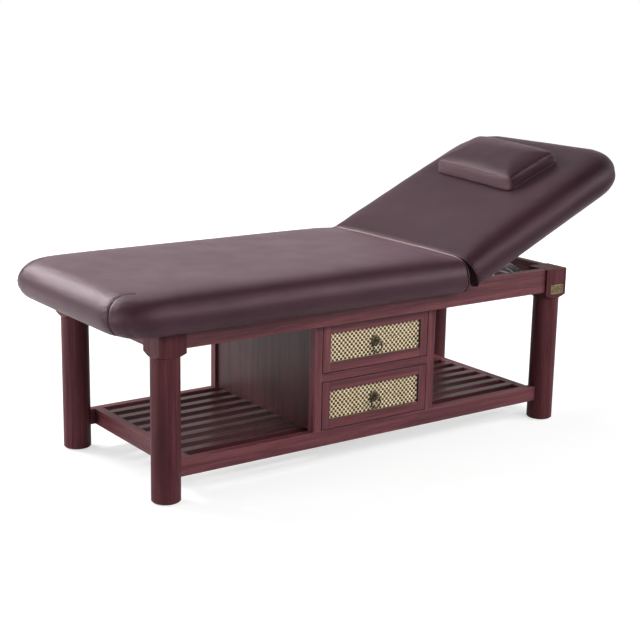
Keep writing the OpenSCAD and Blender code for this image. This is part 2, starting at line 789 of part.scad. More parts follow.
module support_pivot_pins() {
    pin_in = arm_y - arm_t / 2 - rack_side_gap - 2 * bracket_t;
    color(steel) at_backrest() for (back = [0, 1]) mirror([0, back, 0])
        translate([support_reach, -arm_y - arm_t, pivot_low]) rotate([-90, 0, 0])
            cylinder(d = pivot_d, h = arm_y + arm_t - pin_in, $fn = round_fn);
}

// Arms of the support: flat bars with round ends, from the pivot to the cross rod
module at_support() {
    on_floor() translate([pivot_x, 0, pivot_z]) rotate([0, arm_angle, 0]) children();
}

module support_arms() {
    color(steel) at_support() for (back = [0, 1]) mirror([0, back, 0])
        translate([0, arm_t / 2 - arm_y, 0]) rotate([90, 0, 0]) linear_extrude(arm_t)
            difference() {
                union() {
                    translate([0, -arm_w / 2]) square([support_len, arm_w]);
                    circle(d = arm_w, $fn = round_fn);
                    translate([support_len, 0]) circle(d = arm_w, $fn = round_fn);
                }
                circle(r = pivot_d / 2 + rod_gap, $fn = round_fn);
                translate([support_len, 0]) circle(r = rod_d / 2 + rod_gap, $fn = round_fn);
            }
}

module support_cross_rod() {
    color(steel) at_support() translate([support_len, 0, 0]) rotate([90, 0, 0])
        cylinder(d = rod_d, h = 2 * (apron_in_y - rack_t - rack_side_gap), center = true,
                 $fn = round_fn);
}

leg_front_foot();
leg_front_head();
leg_back_foot();
leg_back_head();
foot_glides();
apron_front();
apron_back();
apron_foot();
apron_head();
seat_cross_rail();
hinge_cross_rail();
shelf_rail_front();
shelf_rail_back();
shelf_rail_foot();
shelf_rail_head();
shelf_slats();
cabinet_post_front_foot();
cabinet_post_front_head();
cabinet_post_back_foot();
cabinet_post_back_head();
cabinet_side_foot();
cabinet_side_head();
cabinet_back_panel();
cabinet_mid_rail();
cabinet_floor();
cabinet_top();
drawer_runners();
drawer_upper_front();
drawer_upper_woven_panel();
drawer_upper_backing();
drawer_upper_sides();
drawer_upper_back();
drawer_upper_bottom();
drawer_upper_rosette();
drawer_upper_ring();
drawer_lower_front();
drawer_lower_woven_panel();
drawer_lower_backing();
drawer_lower_sides();
drawer_lower_back();
drawer_lower_bottom();
drawer_lower_rosette();
drawer_lower_ring();
seat_board();
seat_pad();
backrest_board();
backrest_pad();
pillow();
hinge_leaf_seat();
hinge_leaf_backrest();
hinge_pin();
support_rack_front();
support_rack_back();
support_brackets();
support_pivot_pins();
support_arms();
support_cross_rod();
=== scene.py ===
"""Looks of the spa bed: soft pads and pillow, woven drawer panels, pulls, materials, light and camera."""

import json
import math

import bmesh
import bpy
import numpy as np
from mathutils import Matrix, Vector, noise
from mathutils.bvhtree import BVHTree

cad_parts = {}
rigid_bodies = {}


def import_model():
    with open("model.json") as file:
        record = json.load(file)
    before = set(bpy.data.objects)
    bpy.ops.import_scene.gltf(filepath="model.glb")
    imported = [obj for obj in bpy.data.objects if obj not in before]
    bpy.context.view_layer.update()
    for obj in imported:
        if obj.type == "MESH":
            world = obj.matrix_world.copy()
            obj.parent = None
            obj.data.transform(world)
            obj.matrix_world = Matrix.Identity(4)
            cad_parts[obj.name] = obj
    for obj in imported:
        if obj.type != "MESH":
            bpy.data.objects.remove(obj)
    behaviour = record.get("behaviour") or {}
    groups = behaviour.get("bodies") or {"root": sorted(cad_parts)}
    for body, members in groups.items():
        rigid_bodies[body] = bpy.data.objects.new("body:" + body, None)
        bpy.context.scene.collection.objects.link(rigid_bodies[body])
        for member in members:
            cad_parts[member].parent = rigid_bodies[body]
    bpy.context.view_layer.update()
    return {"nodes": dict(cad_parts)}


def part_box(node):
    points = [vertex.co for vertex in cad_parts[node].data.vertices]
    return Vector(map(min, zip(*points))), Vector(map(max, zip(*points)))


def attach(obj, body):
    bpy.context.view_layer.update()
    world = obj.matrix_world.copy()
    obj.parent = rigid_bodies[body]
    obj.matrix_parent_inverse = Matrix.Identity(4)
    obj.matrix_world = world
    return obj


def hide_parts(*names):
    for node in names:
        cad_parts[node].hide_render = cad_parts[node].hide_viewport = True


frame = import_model()
scene = bpy.context.scene
nodes = frame["nodes"]

# the backrest's tilt and its hinge axis, as in part.scad
TILT = math.radians(24.5)
HINGE = Vector((0.243899, 0, 0.599))

# ------------------------------------------------------------------ camera

YAW, PITCH, ROLL = 0.6283786, 0.2391291, 0.0200076
CAMERA_PLACE = (-2.525219, -3.406000, 1.397965)
FOCAL_PX, FRAME_PX, SENSOR = 1358.079, 640, 36


def make_camera():
    """The photo's camera, as found by least squares, without its shift."""
    data = bpy.data.cameras.new("camera")
    data.sensor_width, data.lens = SENSOR, FOCAL_PX / FRAME_PX * SENSOR
    cam = bpy.data.objects.new("camera", data)
    scene.collection.objects.link(cam)
    ahead = Vector((math.sin(YAW) * math.cos(PITCH), math.cos(YAW) * math.cos(PITCH), -math.sin(PITCH)))
    level = Vector((math.cos(YAW), -math.sin(YAW), 0))
    above = level.cross(ahead)
    c, s = math.cos(ROLL), math.sin(ROLL)
    right, up = c * level + s * above, -s * level + c * above
    cam.matrix_world = Matrix.Translation(CAMERA_PLACE) @ Matrix((right, up, -ahead)).transposed().to_4x4()
    scene.camera = cam


# --------------------------------------------------------------- materials

class Nodes:
    """Short names for the shader nodes of one material, or of the world."""

    def __init__(self, name, kept_in=bpy.data.materials):
        self.owner = kept_in.new(name)
        self.owner.use_nodes = True
        self.tree = self.owner.node_tree
        self.bsdf = self.tree.nodes.get("Principled BSDF")
        self.place = self.new("TexCoord").outputs["Object"]

    def new(self, kind, **values):
        """A new node with these properties."""
        node = self.tree.nodes.new("ShaderNode" + kind)
        for key, value in values.items():
            setattr(node, key, value)
        return node

    def link(self, value, socket):
        """Feeds an input from an output, or sets it to a plain value."""
        if isinstance(value, bpy.types.NodeSocket):
            self.tree.links.new(value, socket)
        else:
            socket.default_value = value

    def math(self, how, a, b=0.0):
        node = self.new("Math", operation=how)
        for value, socket in zip((a, b), node.inputs):
            self.link(value, socket)
        return node.outputs[0]

    def noise(self, scale, detail, rough, distortion=0.0, place=None):
        """Noise of so many cells a metre, or of (x, y, z) cells a metre."""
        place = place or self.place
        if not isinstance(scale, (int, float)):
            stretch = self.new("Mapping")
            self.link(place, stretch.inputs["Vector"])
            stretch.inputs["Scale"].default_value = scale
            place, scale = stretch.outputs[0], 1.0
        node = self.new("TexNoise")
        self.link(place, node.inputs["Vector"])
        node.inputs["Scale"].default_value = scale
        node.inputs["Detail"].default_value = detail
        node.inputs["Roughness"].default_value = rough
        node.inputs["Distortion"].default_value = distortion
        return node.outputs[0]

    def dot(self, a, b):
        node = self.new("VectorMath", operation="DOT_PRODUCT")
        self.link(a, node.inputs[0])
        self.link(b, node.inputs[1])
        return node.outputs["Value"]

    def parts(self, vector):
        """The x, y and z of a vector."""
        node = self.new("SeparateXYZ")
        self.link(vector, node.inputs[0])
        return node.outputs

    def span(self, value, low, high, to_low=0.0, to_high=1.0, how="LINEAR"):
        """A value taken from one range to another, and held within it."""
        node = self.new("MapRange", interpolation_type=how)
        self.link(value, node.inputs["Value"])
        for key, x in (("From Min", low), ("From Max", high), ("To Min", to_low), ("To Max", to_high)):
            node.inputs[key].default_value = x
        return node.outputs[0]

    def ramp(self, value, stops):
        """The colour at a value, from (value, colour) stops."""
        node = self.new("ValToRGB")
        self.link(value, node.inputs[0])
        ramp = node.color_ramp
        while len(ramp.elements) < len(stops):
            ramp.elements.new(0.5)
        for element, (at, colour) in zip(ramp.elements, stops):
            element.position, element.color = at, (*colour, 1)
        return node.outputs[0]

    def mix(self, share, a, b):
        """Colour a with a share of colour b."""
        node = self.new("Mix", data_type="RGBA")
        self.link(share, node.inputs[0])
        for value, socket in ((a, node.inputs[6]), (b, node.inputs[7])):
            self.link(value if isinstance(value, bpy.types.NodeSocket) else (*value, 1), socket)
        return node.outputs[2]

    def blend(self, share, a, b):
        """Number a with a share of number b."""
        node = self.new("Mix", data_type="FLOAT")
        for value, socket in ((share, node.inputs[0]), (a, node.inputs[2]), (b, node.inputs[3])):
            self.link(value, socket)
        return node.outputs[0]

    def soft_edges(self, radius):
        """The normal with rounded edges, and how near to an edge a point is."""
        bevel = self.new("Bevel", samples=6)
        bevel.inputs["Radius"].default_value = radius
        turned = self.dot(bevel.outputs[0], self.new("NewGeometry").outputs["True Normal"])
        return bevel.outputs[0], self.span(turned, 0.995, 0.86)

    def bump(self, height, depth, strength, normal=None):
        """The normal of a relief as deep as depth."""
        node = self.new("Bump")
        node.inputs["Strength"].default_value = strength
        node.inputs["Distance"].default_value = depth
        self.link(height, node.inputs["Height"])
        if normal:
            self.link(normal, node.inputs["Normal"])
        return node.outputs[0]

    def finish(self, colour, rough, normal=None, **fixed):
        """The material, with plain values for the shader's other inputs."""
        self.link(colour if isinstance(colour, bpy.types.NodeSocket) else (*colour, 1),
                  self.bsdf.inputs["Base Color"])
        self.link(rough, self.bsdf.inputs["Roughness"])
        if normal:
            self.link(normal, self.bsdf.inputs["Normal"])
        for key, value in fixed.items():
            self.bsdf.inputs[key.replace("_", " ")].default_value = value
        return self.owner


def along(axis, lengthwise, across):
    """Cells a metre on X, Y and Z, with the grain along one axis."""
    return tuple(lengthwise if a == axis else across for a in "xyz")


def shaded(colour, shade):
    """A colour made lighter or darker."""
    return tuple(shade * c for c in colour)


WOOD_TONES = ((0.30, (0.050, 0.013, 0.018)), (0.47, (0.116, 0.029, 0.038)), (0.60, (0.178, 0.050, 0.060)),
              (0.76, (0.242, 0.076, 0.086)))
WOOD_FIBRE, WOOD_PORE, WOOD_WORN = (0.052, 0.013, 0.014), (0.018, 0.006, 0.006), (0.235, 0.085, 0.066)
# the second colour here is painted shade, put on a framed front's edge faces in the reveals round it
WOOD_JOINT, WOOD_REVEAL_SHADE, JOINT_HALF_W = (0.012, 0.005, 0.005), (0.018, 0.006, 0.007), 0.0005


def wood(name, axis, shift=0.0, shade=1.1, frame_half=None, frame_x=0.0, veneer=False, shine=0.30,
         rough=0.38):
    """Stained timber with its grain along an axis.

    On a framed front, the stiles, which start frame_half from the middle at frame_x, have upright grain."""
    n = Nodes(name)
    place = n.new("Mapping")
    n.link(n.place, place.inputs["Vector"])
    place.inputs["Location"].default_value = (shift, shift * 0.7, shift * 0.4)
    place = place.outputs[0]

    def layers(axis):
        warp = n.noise(along(axis, 1.6, 9), 2, 0.5, place=place)
        streak = n.noise(along(axis, 2.4, 42 if veneer else 60), 5, 0.62, 1.2 if veneer else 0.5, place)
        fibre = n.noise(along(axis, 16, 620), 3, 0.6, place=place)
        pore = n.noise(along(axis, 55, 1500), 2, 0.5, place=place)
        return n.math("ADD", n.math("MULTIPLY", streak, 0.8), n.math("MULTIPLY", warp, 0.2)), fibre, pore

    streak, fibre, pore = layers(axis)
    if frame_half:
        aside = n.math("ABSOLUTE", n.math("SUBTRACT", n.parts(n.place)[0], frame_x))
        stile = n.math("GREATER_THAN", aside, frame_half)
        joint = n.math("LESS_THAN", n.math("ABSOLUTE", n.math("SUBTRACT", aside, frame_half)), JOINT_HALF_W)
        streak, fibre, pore = [n.blend(stile, lying, standing)
                               for lying, standing in zip((streak, fibre, pore), layers("z"))]
    colour = n.ramp(streak, [(at, shaded(tone, shade)) for at, tone in WOOD_TONES])
    colour = n.mix(n.span(fibre, 0.35, 0.7, 0.0, 0.55), colour, WOOD_FIBRE)
    holes = n.span(pore, 0.60, 0.70)
    colour = n.mix(n.math("MULTIPLY", holes, 0.6), colour, WOOD_PORE)
    round_normal, edge = n.soft_edges(0.0022)
    worn = n.math("MULTIPLY", edge, n.span(n.noise(28, 3, 0.6), 0.42, 0.68, 0.15, 0.75))
    colour = n.mix(worn, colour, WOOD_WORN)
    if frame_half:
        colour = n.mix(joint, colour, WOOD_JOINT)
        # painted shade: the faces that turn away from the front, its edges in the reveals, are painted near black
        facing = n.parts(n.new("NewGeometry").outputs["True Normal"])
        colour = n.mix(n.math("LESS_THAN", n.math("ABSOLUTE", facing[1]), 0.6), colour, WOOD_REVEAL_SHADE)
    gloss = n.math("ADD", n.span(streak, 0.3, 0.7, rough + 0.09, rough), n.math("MULTIPLY", holes, 0.2))
    height = n.math("SUBTRACT", n.math("MULTIPLY", fibre, 0.35), holes)
    normal = n.bump(height, 0.00035, 0.35, round_normal)
    return n.finish(colour, gloss, normal, Coat_Weight=shine / 6, Coat_Roughness=0.25, Specular_IOR_Level=shine)


LEATHER_DARK, LEATHER_LIGHT = (0.0250, 0.0088, 0.0138), (0.0530, 0.0205, 0.0300)
GRAIN_DEPTH = 0.00022


def leather(name, shade=1.0, grain=880.0, rough=0.36, gleam=1.0, tint=None):
    """Grained artificial leather, with its grain in cells a metre.

    It may be given painted light or shade, which turns it to another tone along a direction: (by the normal instead
    of the place, direction, from, to, tone)."""
    n = Nodes(name)
    cells = n.new("TexVoronoi", feature="DISTANCE_TO_EDGE")
    cells.inputs["Scale"].default_value = grain
    warp = n.new("TexNoise")
    n.link(n.place, warp.inputs["Vector"])
    warp.inputs["Scale"].default_value = grain * 0.45
    bent = n.new("Mix", data_type="VECTOR")
    bent.inputs[0].default_value = 0.0006
    n.link(n.place, bent.inputs[4])
    n.link(warp.outputs["Color"], bent.inputs[5])
    n.link(bent.outputs[1], cells.inputs["Vector"])
    creases = n.span(cells.outputs["Distance"], 0.0, 0.22)
    broad = n.noise(5.5, 3, 0.55)
    fine = n.noise(2400, 2, 0.6)
    colour = n.ramp(n.math("ADD", n.math("MULTIPLY", creases, 0.35), n.math("MULTIPLY", broad, 0.65)),
                    ((0.25, shaded(LEATHER_DARK, shade)), (0.75, shaded(LEATHER_LIGHT, shade))))
    # painted light or shade: another tone along a direction
    if tint:
        by_normal, direction, start, end, tone = tint
        along_it = n.dot(n.new("NewGeometry").outputs["Normal"] if by_normal else n.place, direction)
        colour = n.mix(n.span(n.math("ABSOLUTE", along_it), start, end), colour, tone)
    gloss = n.math("ADD", n.span(n.noise(12, 1, 0.5), 0.3, 0.7, rough - 0.03, rough + 0.04),
                   n.math("MULTIPLY", creases, -0.05))
    height = n.math("ADD", creases, n.math("MULTIPLY", fine, 0.25))
    normal = n.bump(height, GRAIN_DEPTH, 0.5)
    return n.finish(colour, gloss, normal, Specular_IOR_Level=0.27 * gleam,
                    Specular_Tint=(1.0, 0.72, 0.80, 1), Sheen_Weight=0.17 * gleam,
                    Sheen_Roughness=0.45, Sheen_Tint=(1.0, 0.62, 0.76, 1))


PLY_LAYER_PITCH = 0.0029


def plywood(name, axis):
    """Birch plywood: pale faces with a long grain, and its layers on the edges."""
    n = Nodes(name)
    streak = n.noise(along(axis, 2.0, 38), 4, 0.6, 0.8)
    fibre = n.noise(along(axis, 14, 500), 3, 0.6)
    face = n.ramp(streak, ((0.3, (0.34, 0.205, 0.105)), (0.7, (0.52, 0.355, 0.205))))
    face = n.mix(n.span(fibre, 0.4, 0.7, 0.0, 0.45), face, (0.27, 0.155, 0.08))
    layer = n.math("SINE", n.math("MULTIPLY", n.parts(n.place)[2], 2 * math.pi / PLY_LAYER_PITCH))
    edge = n.mix(n.span(layer, -0.25, 0.25), (0.225, 0.125, 0.065), (0.44, 0.30, 0.175))
    facing = n.parts(n.new("NewGeometry").outputs["True Normal"])
    level = n.math("GREATER_THAN", n.math("ABSOLUTE", facing[2]), 0.8)
    round_normal, worn = n.soft_edges(0.001)
    colour = n.mix(level, edge, face)
    colour = n.mix(n.math("MULTIPLY", worn, 0.35), colour, (0.60, 0.44, 0.28))
    return n.finish(colour, n.span(fibre, 0.3, 0.7, 0.62, 0.5), n.bump(fibre, 0.0002, 0.3, round_normal))


def cane(name, axis, dark, light):
    """Flat strips with fibres along them, a little different from strip to strip."""
    n = Nodes(name)
    strip = n.noise(along(axis, 3, 190), 1, 0.5)
    fibre = n.noise(along(axis, 60, 2600), 3, 0.6)
    blotch = n.noise(60, 3, 0.6)
    mixed = n.math("ADD", n.math("MULTIPLY", strip, 0.45),
                   n.math("ADD", n.math("MULTIPLY", fibre, 0.3), n.math("MULTIPLY", blotch, 0.25)))
    colour = n.ramp(mixed, ((0.36, dark), (0.62, light)))
    return n.finish(colour, n.span(fibre, 0.3, 0.7, 0.55, 0.42), n.bump(fibre, 0.0002, 0.5))


def metal(name, dark, light, rough, scale, edge_colour, wear):
    """Plated or aged metal, duller in its patches and rubbed bright along its edges."""
    n = Nodes(name)
    patch = n.noise(scale, 4, 0.62, 0.4)
    fine = n.noise(scale * 14, 2, 0.6)
    colour = n.ramp(patch, ((0.34, dark), (0.66, light)))
    round_normal, edge = n.soft_edges(0.0007)
    colour = n.mix(n.math("MULTIPLY", edge, wear), colour, edge_colour)
    gloss = n.math("ADD", n.span(patch, 0.3, 0.7, rough + 0.12, rough - 0.05), n.math("MULTIPLY", fine, 0.06))
    return n.finish(colour, gloss, n.bump(fine, 0.00012, 0.3, round_normal), Metallic=1.0)


def fibrous(name, colour):
    """Matt felt or thread, speckled."""
    n = Nodes(name)
    speck = n.noise(900, 3, 0.7)
    shade = n.mix(n.span(speck, 0.35, 0.7, 0, 0.6), colour, shaded(colour, 1.9))
    return n.finish(shade, n.span(speck, 0.3, 0.7, 0.75, 0.9), n.bump(speck, 0.0003, 0.6))


M = {
    "x": [wood("wood_long_%d" % i, "x", 0.37 * i) for i in range(3)],
    "y": [wood("wood_cross_%d" % i, "y", 0.53 * i + 0.2) for i in range(2)],
    "z": [wood("wood_upright_%d" % i, "z", 0.41 * i + 0.1) for i in range(4)],
    "leg": [wood("wood_leg_%d" % i, "z", 0.29 * i + 0.7, 0.68, shine=0.12) for i in range(4)],
    "slat": wood("wood_slat", "x", 1.3, 0.43, shine=0.44, rough=0.25),
    "veneer": [wood("wood_veneer_%d" % i, "z", 0.9 + 0.3 * i, 0.33, veneer=True, shine=0.36, rough=0.34)
               for i in range(2)],
    "ply_x": plywood("plywood_long", "x"),
    "ply_y": plywood("plywood_deep", "y"),
    "pad": leather("leather_pads"),
    # the backrest's leather is a darker copy of the seat's, darker still towards the head end: painted shade
    "back": leather("leather_back", 0.82, gleam=0.75, tint=(False, (1, 0, 0), 0.50, 0.90, (0.014, 0.005, 0.008))),
    # the seams' leather is nearly black: painted shade along the seams
    "seam": leather("leather_seam", 0.16, 1400, 0.62),
    # the seat's welt is pale along the top of the hinge end and fades at the sides: a painted highlight
    "welt": leather("leather_welt", 1.0, 1400, 0.30, tint=(False, (0, 1, 0), 0.345, 0.300, (0.42, 0.33, 0.30))),
    "thread": fibrous("thread", (0.030, 0.020, 0.021)),
    "steel": metal("zinc_steel", (0.24, 0.24, 0.26), (0.46, 0.46, 0.49), 0.28, 60, (0.75, 0.75, 0.78), 0.4),
    "hinge": metal("hinge_steel", (0.055, 0.045, 0.042), (0.130, 0.105, 0.095), 0.42, 90, (0.36, 0.31, 0.28), 0.5),
    "bronze": metal("antique_bronze", (0.030, 0.026, 0.020), (0.135, 0.105, 0.065), 0.38, 160,
                    (0.44, 0.36, 0.22), 0.7),
    "plate": metal("plate_brass", (0.120, 0.096, 0.050), (0.260, 0.215, 0.120), 0.36, 120, (0.60, 0.50, 0.30), 0.7),
    "cane_light": cane("cane_light", "z", (0.73, 0.55, 0.29), (0.94, 0.79, 0.53)),
    "cane_dark": cane("cane_dark", "x", (0.010, 0.006, 0.005), (0.050, 0.026, 0.018)),
    "glide": fibrous("glide_felt", (0.020, 0.019, 0.018)),
}


def dress(name, material):
    """Gives a CAD node its material."""
    ob = nodes[name]
    ob.data.materials.clear()
    ob.data.materials.append(material)


STILE_W = 0.0285


def dress_nodes():
    """Dresses every CAD node that no object of this script replaces."""
    upright = 0
    for name in nodes:
        if name.startswith(("leg_", "cabinet_post")):
            dress(name, M["leg" if name[0] == "l" else "z"][upright % 4])
            upright += 1
        elif name in ("apron_foot", "apron_head", "shelf_rail_foot", "shelf_rail_head", "seat_cross_rail",
                      "hinge_cross_rail"):
            dress(name, M["y"][len(name) % 2])
        elif name in ("apron_front", "apron_back", "shelf_rail_front", "shelf_rail_back", "cabinet_mid_rail"):
            dress(name, M["x"][len(name) % 3])
        elif name == "shelf_slats":
            dress(name, M["slat"])
        elif name.startswith("cabinet_side") or name == "cabinet_back_panel":
            dress(name, M["veneer"][len(name) % 2])
        elif name.endswith("_front"):
            low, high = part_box(name)
            middle = (low.x + high.x) / 2
            half = (high.x - low.x) / 2 - STILE_W
            dress(name, wood("wood_" + name, "x", 0.8 + high.z, 1.08, half, middle))
        elif name in ("cabinet_floor", "cabinet_top", "seat_board", "backrest_board") or name.endswith(
                ("_backing", "drawer_upper_back", "drawer_lower_back")):
            dress(name, M["ply_x"])
        elif name.startswith("drawer_") and name.endswith(("sides", "bottom", "runners")):
            dress(name, M["ply_y"])
        elif name.endswith(("rosette", "ring")):
            dress(name, M["bronze"])
        elif name.startswith("hinge_"):
            dress(name, M["hinge"])
        elif name.startswith("support_"):
            dress(name, M["steel"])
        elif name == "foot_glides":
            dress(name, M["glide"])


dress_nodes()


# ------------------------------------------------------------ mesh helpers

def new_object(name, verts, faces, material, smooth=True):
    mesh = bpy.data.meshes.new(name)
    mesh.from_pydata([tuple(v) for v in verts], [], faces)
    mesh.materials.append(material)
    if smooth:
        mesh.shade_smooth()
    mesh.update()
    ob = bpy.data.objects.new(name, mesh)
    scene.collection.objects.link(ob)
    return ob


def points_of(ob):
    co = np.zeros(len(ob.data.vertices) * 3, np.float32)
    ob.data.vertices.foreach_get("co", co)
    return co.reshape(-1, 3).astype(float)


def set_points(ob, co):
    ob.data.vertices.foreach_set("co", np.asarray(co, np.float32).ravel())
    ob.data.update()


def normals_of(ob):
    no = np.zeros(len(ob.data.vertices) * 3, np.float32)
    ob.data.vertex_normals.foreach_get("vector", no)
    return no.reshape(-1, 3).astype(float)


def tube(path, radius, sides, closed=False, flat=1.0, normals=None):
    """Vertices and faces of a tube along a path, which may be flattened along given normals."""
    path = [Vector(p) for p in path]
    count = len(path)
    verts, faces = [], []
    side = None
    for i, p in enumerate(path):
        before = path[i - 1] if (i or closed) else p
        after = path[(i + 1) % count] if (i < count - 1 or closed) else p
        ahead = (after - before).normalized()
        if normals:
            out = Vector(normals[i])
            out = (out - ahead * out.dot(ahead)).normalized()
            side = ahead.cross(out)
        else:
            if side is None:
                side = ahead.orthogonal().normalized()
            side = (side - ahead * side.dot(ahead)).normalized()
            out = side.cross(ahead)
        for k in range(sides):
            a = 2 * math.pi * k / sides
            verts.append(p + radius * (math.cos(a) * side + flat * math.sin(a) * out))
    for i in range(count if closed else count - 1):
        for k in range(sides):
            a, b = i * sides, (i + 1) % count * sides
            faces.append((a + k, b + k, b + (k + 1) % sides, a + (k + 1) % sides))
    if not closed:
        faces.append(tuple(range(sides)))
        faces.append(tuple((count - 1) * sides + k for k in reversed(range(sides))))
    return verts, faces


def joined(parts):
    """The vertices and faces of many pieces as one."""
    verts, faces = [], []
    for v, f in parts:
        base = len(verts)
        verts += v
        faces += [tuple(base + i for i in face) for face in f]
    return verts, faces


def skinned(rings, m):
    """The faces over so many rings of m vertices each, with a cap on both ends."""
    faces = []
    for start in range(0, (rings - 1) * m, m):
        for k in range(m):
            a, b = start + k, start + (k + 1) % m
            faces.append((a, b, b + m, a + m))
    return faces + [tuple(reversed(range(m))), tuple((rings - 1) * m + k for k in range(m))]


def rounded(half_x, half_y, corner, inset, steps, turn_steps):
    """Points on a rectangle with rounded corners, drawn in by an inset: so many steps at each corner, with
    turn_steps of them to a quarter turn."""
    points = []
    for q in range(4):
        for k in range(steps):
            a = math.pi / 2 * (q + k / turn_steps)
            x = (half_x - corner) * (1 if q in (0, 3) else -1) + (corner - inset) * math.cos(a)
            y = (half_y - corner) * (1 if q < 2 else -1) + (corner - inset) * math.sin(a)
            points.append((x, y))
    return points


def rise(value, start, over):
    """0 up to start, and 1 once it has risen over that stretch."""
    return np.clip((value - start) / over, 0, 1)


def wavy(ob, cells, shift, depth):
    """Broad unevenness of so many cells a metre, with its own depth at each vertex."""
    co = points_of(ob)
    wave = np.array([noise.noise(Vector((a * cells[0], b * cells[1], c * cells[2] + shift))) for a, b, c in co])
    set_points(ob, co + normals_of(ob) * (wave * depth)[:, None])


# -------------------------------------------------------------------- pads

# of the solid pads, as in part.scad
PAD_HALF_W, ROLL_R, UNDER_R, PAD_BASE, CROWN = 0.377, 0.062, 0.047, -0.109, 0.005
RECESS_HALF_W, LIP_W, RECESS_TOP, END_GAP = 0.3245, 0.0525, -0.067, 0.0036
# of the soft ones
PAD_VOXEL, PAD_SWELL, PAD_SLACK, PAD_WAVE = 0.009, 0.009, 0.0025, 0.0011
WELT_S, WELT_R = 0.0046, 0.0021
SEAM_R, SEAM_FLAT, SEAM_PROUD = 0.0016, 0.6, 0.0004
STITCH_LONG, STITCH_GAP, STITCH_R, STITCH_ASIDE = 0.0042, 0.0026, 0.00045, 0.0042
PUCKER_PITCH, PUCKER_ASIDE = 0.013, 0.010
SIM_FRAMES = 20


class Pad:
    """One pad in its own frame: s from the hinge line along the pad, y across, z square to it from the hinge
    axis. Its top stands proud of the solid, and slump is the share of the underside's fill that it goes without."""

    def __init__(self, name, node, body, length, corner_r, tilted, proud, slump):
        self.name, self.node, self.body = name, node, body
        self.length, self.corner_r, self.tilted = length, corner_r, tilted
        self.proud, self.slump = proud, slump

    def out(self, p):
        """From the pad's frame to the world's."""
        s, y, z = p
        if self.tilted:
            return Vector((HINGE.x + s * math.cos(TILT) - z * math.sin(TILT), y,
                           HINGE.z + s * math.sin(TILT) + z * math.cos(TILT)))
        return Vector((HINGE.x - s, y, HINGE.z + z))

    def inside(self, co):
        """From the world's frame to the pad's, for many points."""
        x, y, z = co[:, 0] - HINGE.x, co[:, 1], co[:, 2] - HINGE.z
        if self.tilted:
            return np.stack([x * math.cos(TILT) + z * math.sin(TILT), y,
                             z * math.cos(TILT) - x * math.sin(TILT)], 1)
        return np.stack([-x, y, z], 1)

    def edge_point(self, inset, z, angle, side):
        """A point on the rounded corner: angle 0 faces the pad's end and 90 degrees its long side."""
        r = max(self.corner_r - inset, 0.004)
        x, y = self.length - inset - r, PAD_HALF_W - inset - r
        return self.out((x + r * math.cos(angle), side * (y + r * math.sin(angle)), z))

    def profile(self, u):
        """Inset and height at u: 0 under the lip, 1 at the widest, 2 where the roll meets the top, then inwards."""
        if u < 1:
            a = math.pi / 2 * (1 - u)
            return UNDER_R * (1 - math.cos(a)), PAD_BASE + UNDER_R * (1 - math.sin(a))
        if u < 2:
            a = math.pi / 2 * (u - 1)
            return ROLL_R * (1 - math.cos(a)), PAD_BASE + UNDER_R + ROLL_R * math.sin(a)
        return ROLL_R * (u - 1), PAD_BASE + UNDER_R + ROLL_R + CROWN * min(1, (u - 2) / 2)


def soft_copy(name, node, voxel):
    """A welded, evenly meshed copy of a CAD solid."""
    mesh = nodes[node].data.copy()
    mesh.name = name
    mesh.materials.clear()
    bm = bmesh.new()
    bm.from_mesh(mesh)
    bmesh.ops.remove_doubles(bm, verts=bm.verts, dist=1e-5)
    bmesh.ops.recalc_face_normals(bm, faces=bm.faces)
    bm.to_mesh(mesh)
    bm.free()
    for attribute in [a.name for a in mesh.attributes if a.name in ("custom_normal", "sharp_edge", "sharp_face")]:
        mesh.attributes.remove(mesh.attributes[attribute])
    ob = bpy.data.objects.new(name, mesh)
    scene.collection.objects.link(ob)
    mesh.remesh_voxel_size = voxel
    mesh.use_remesh_fix_poles = True
    mesh.use_remesh_preserve_volume = True
    for other in bpy.context.view_layer.objects:
        other.select_set(False)
    ob.select_set(True)
    bpy.context.view_layer.objects.active = ob
    bpy.ops.object.voxel_remesh()
    return ob


def evened(ob, field, rounds, share):
    """Vectors at the vertices, drawn towards their neighbours' mean by each vertex's share."""
    mesh = ob.data
    edges = np.zeros(len(mesh.edges) * 2, np.int32)
    mesh.edges.foreach_get("vertices", edges)
    a, b = edges.reshape(-1, 2).T
    degree = np.bincount(a, minlength=len(field)) + np.bincount(b, minlength=len(field))
    for _ in range(rounds):
        total = np.zeros_like(field)
        np.add.at(total, a, field[b])
        np.add.at(total, b, field[a])
        field = field + (total / degree[:, None] - field) * share[:, None]
    return field


def relax(ob, hold, rounds):
    """Smooths the vertices, each as far as its hold lets it."""
    set_points(ob, evened(ob, points_of(ob), rounds, 0.5 * (1 - hold)))


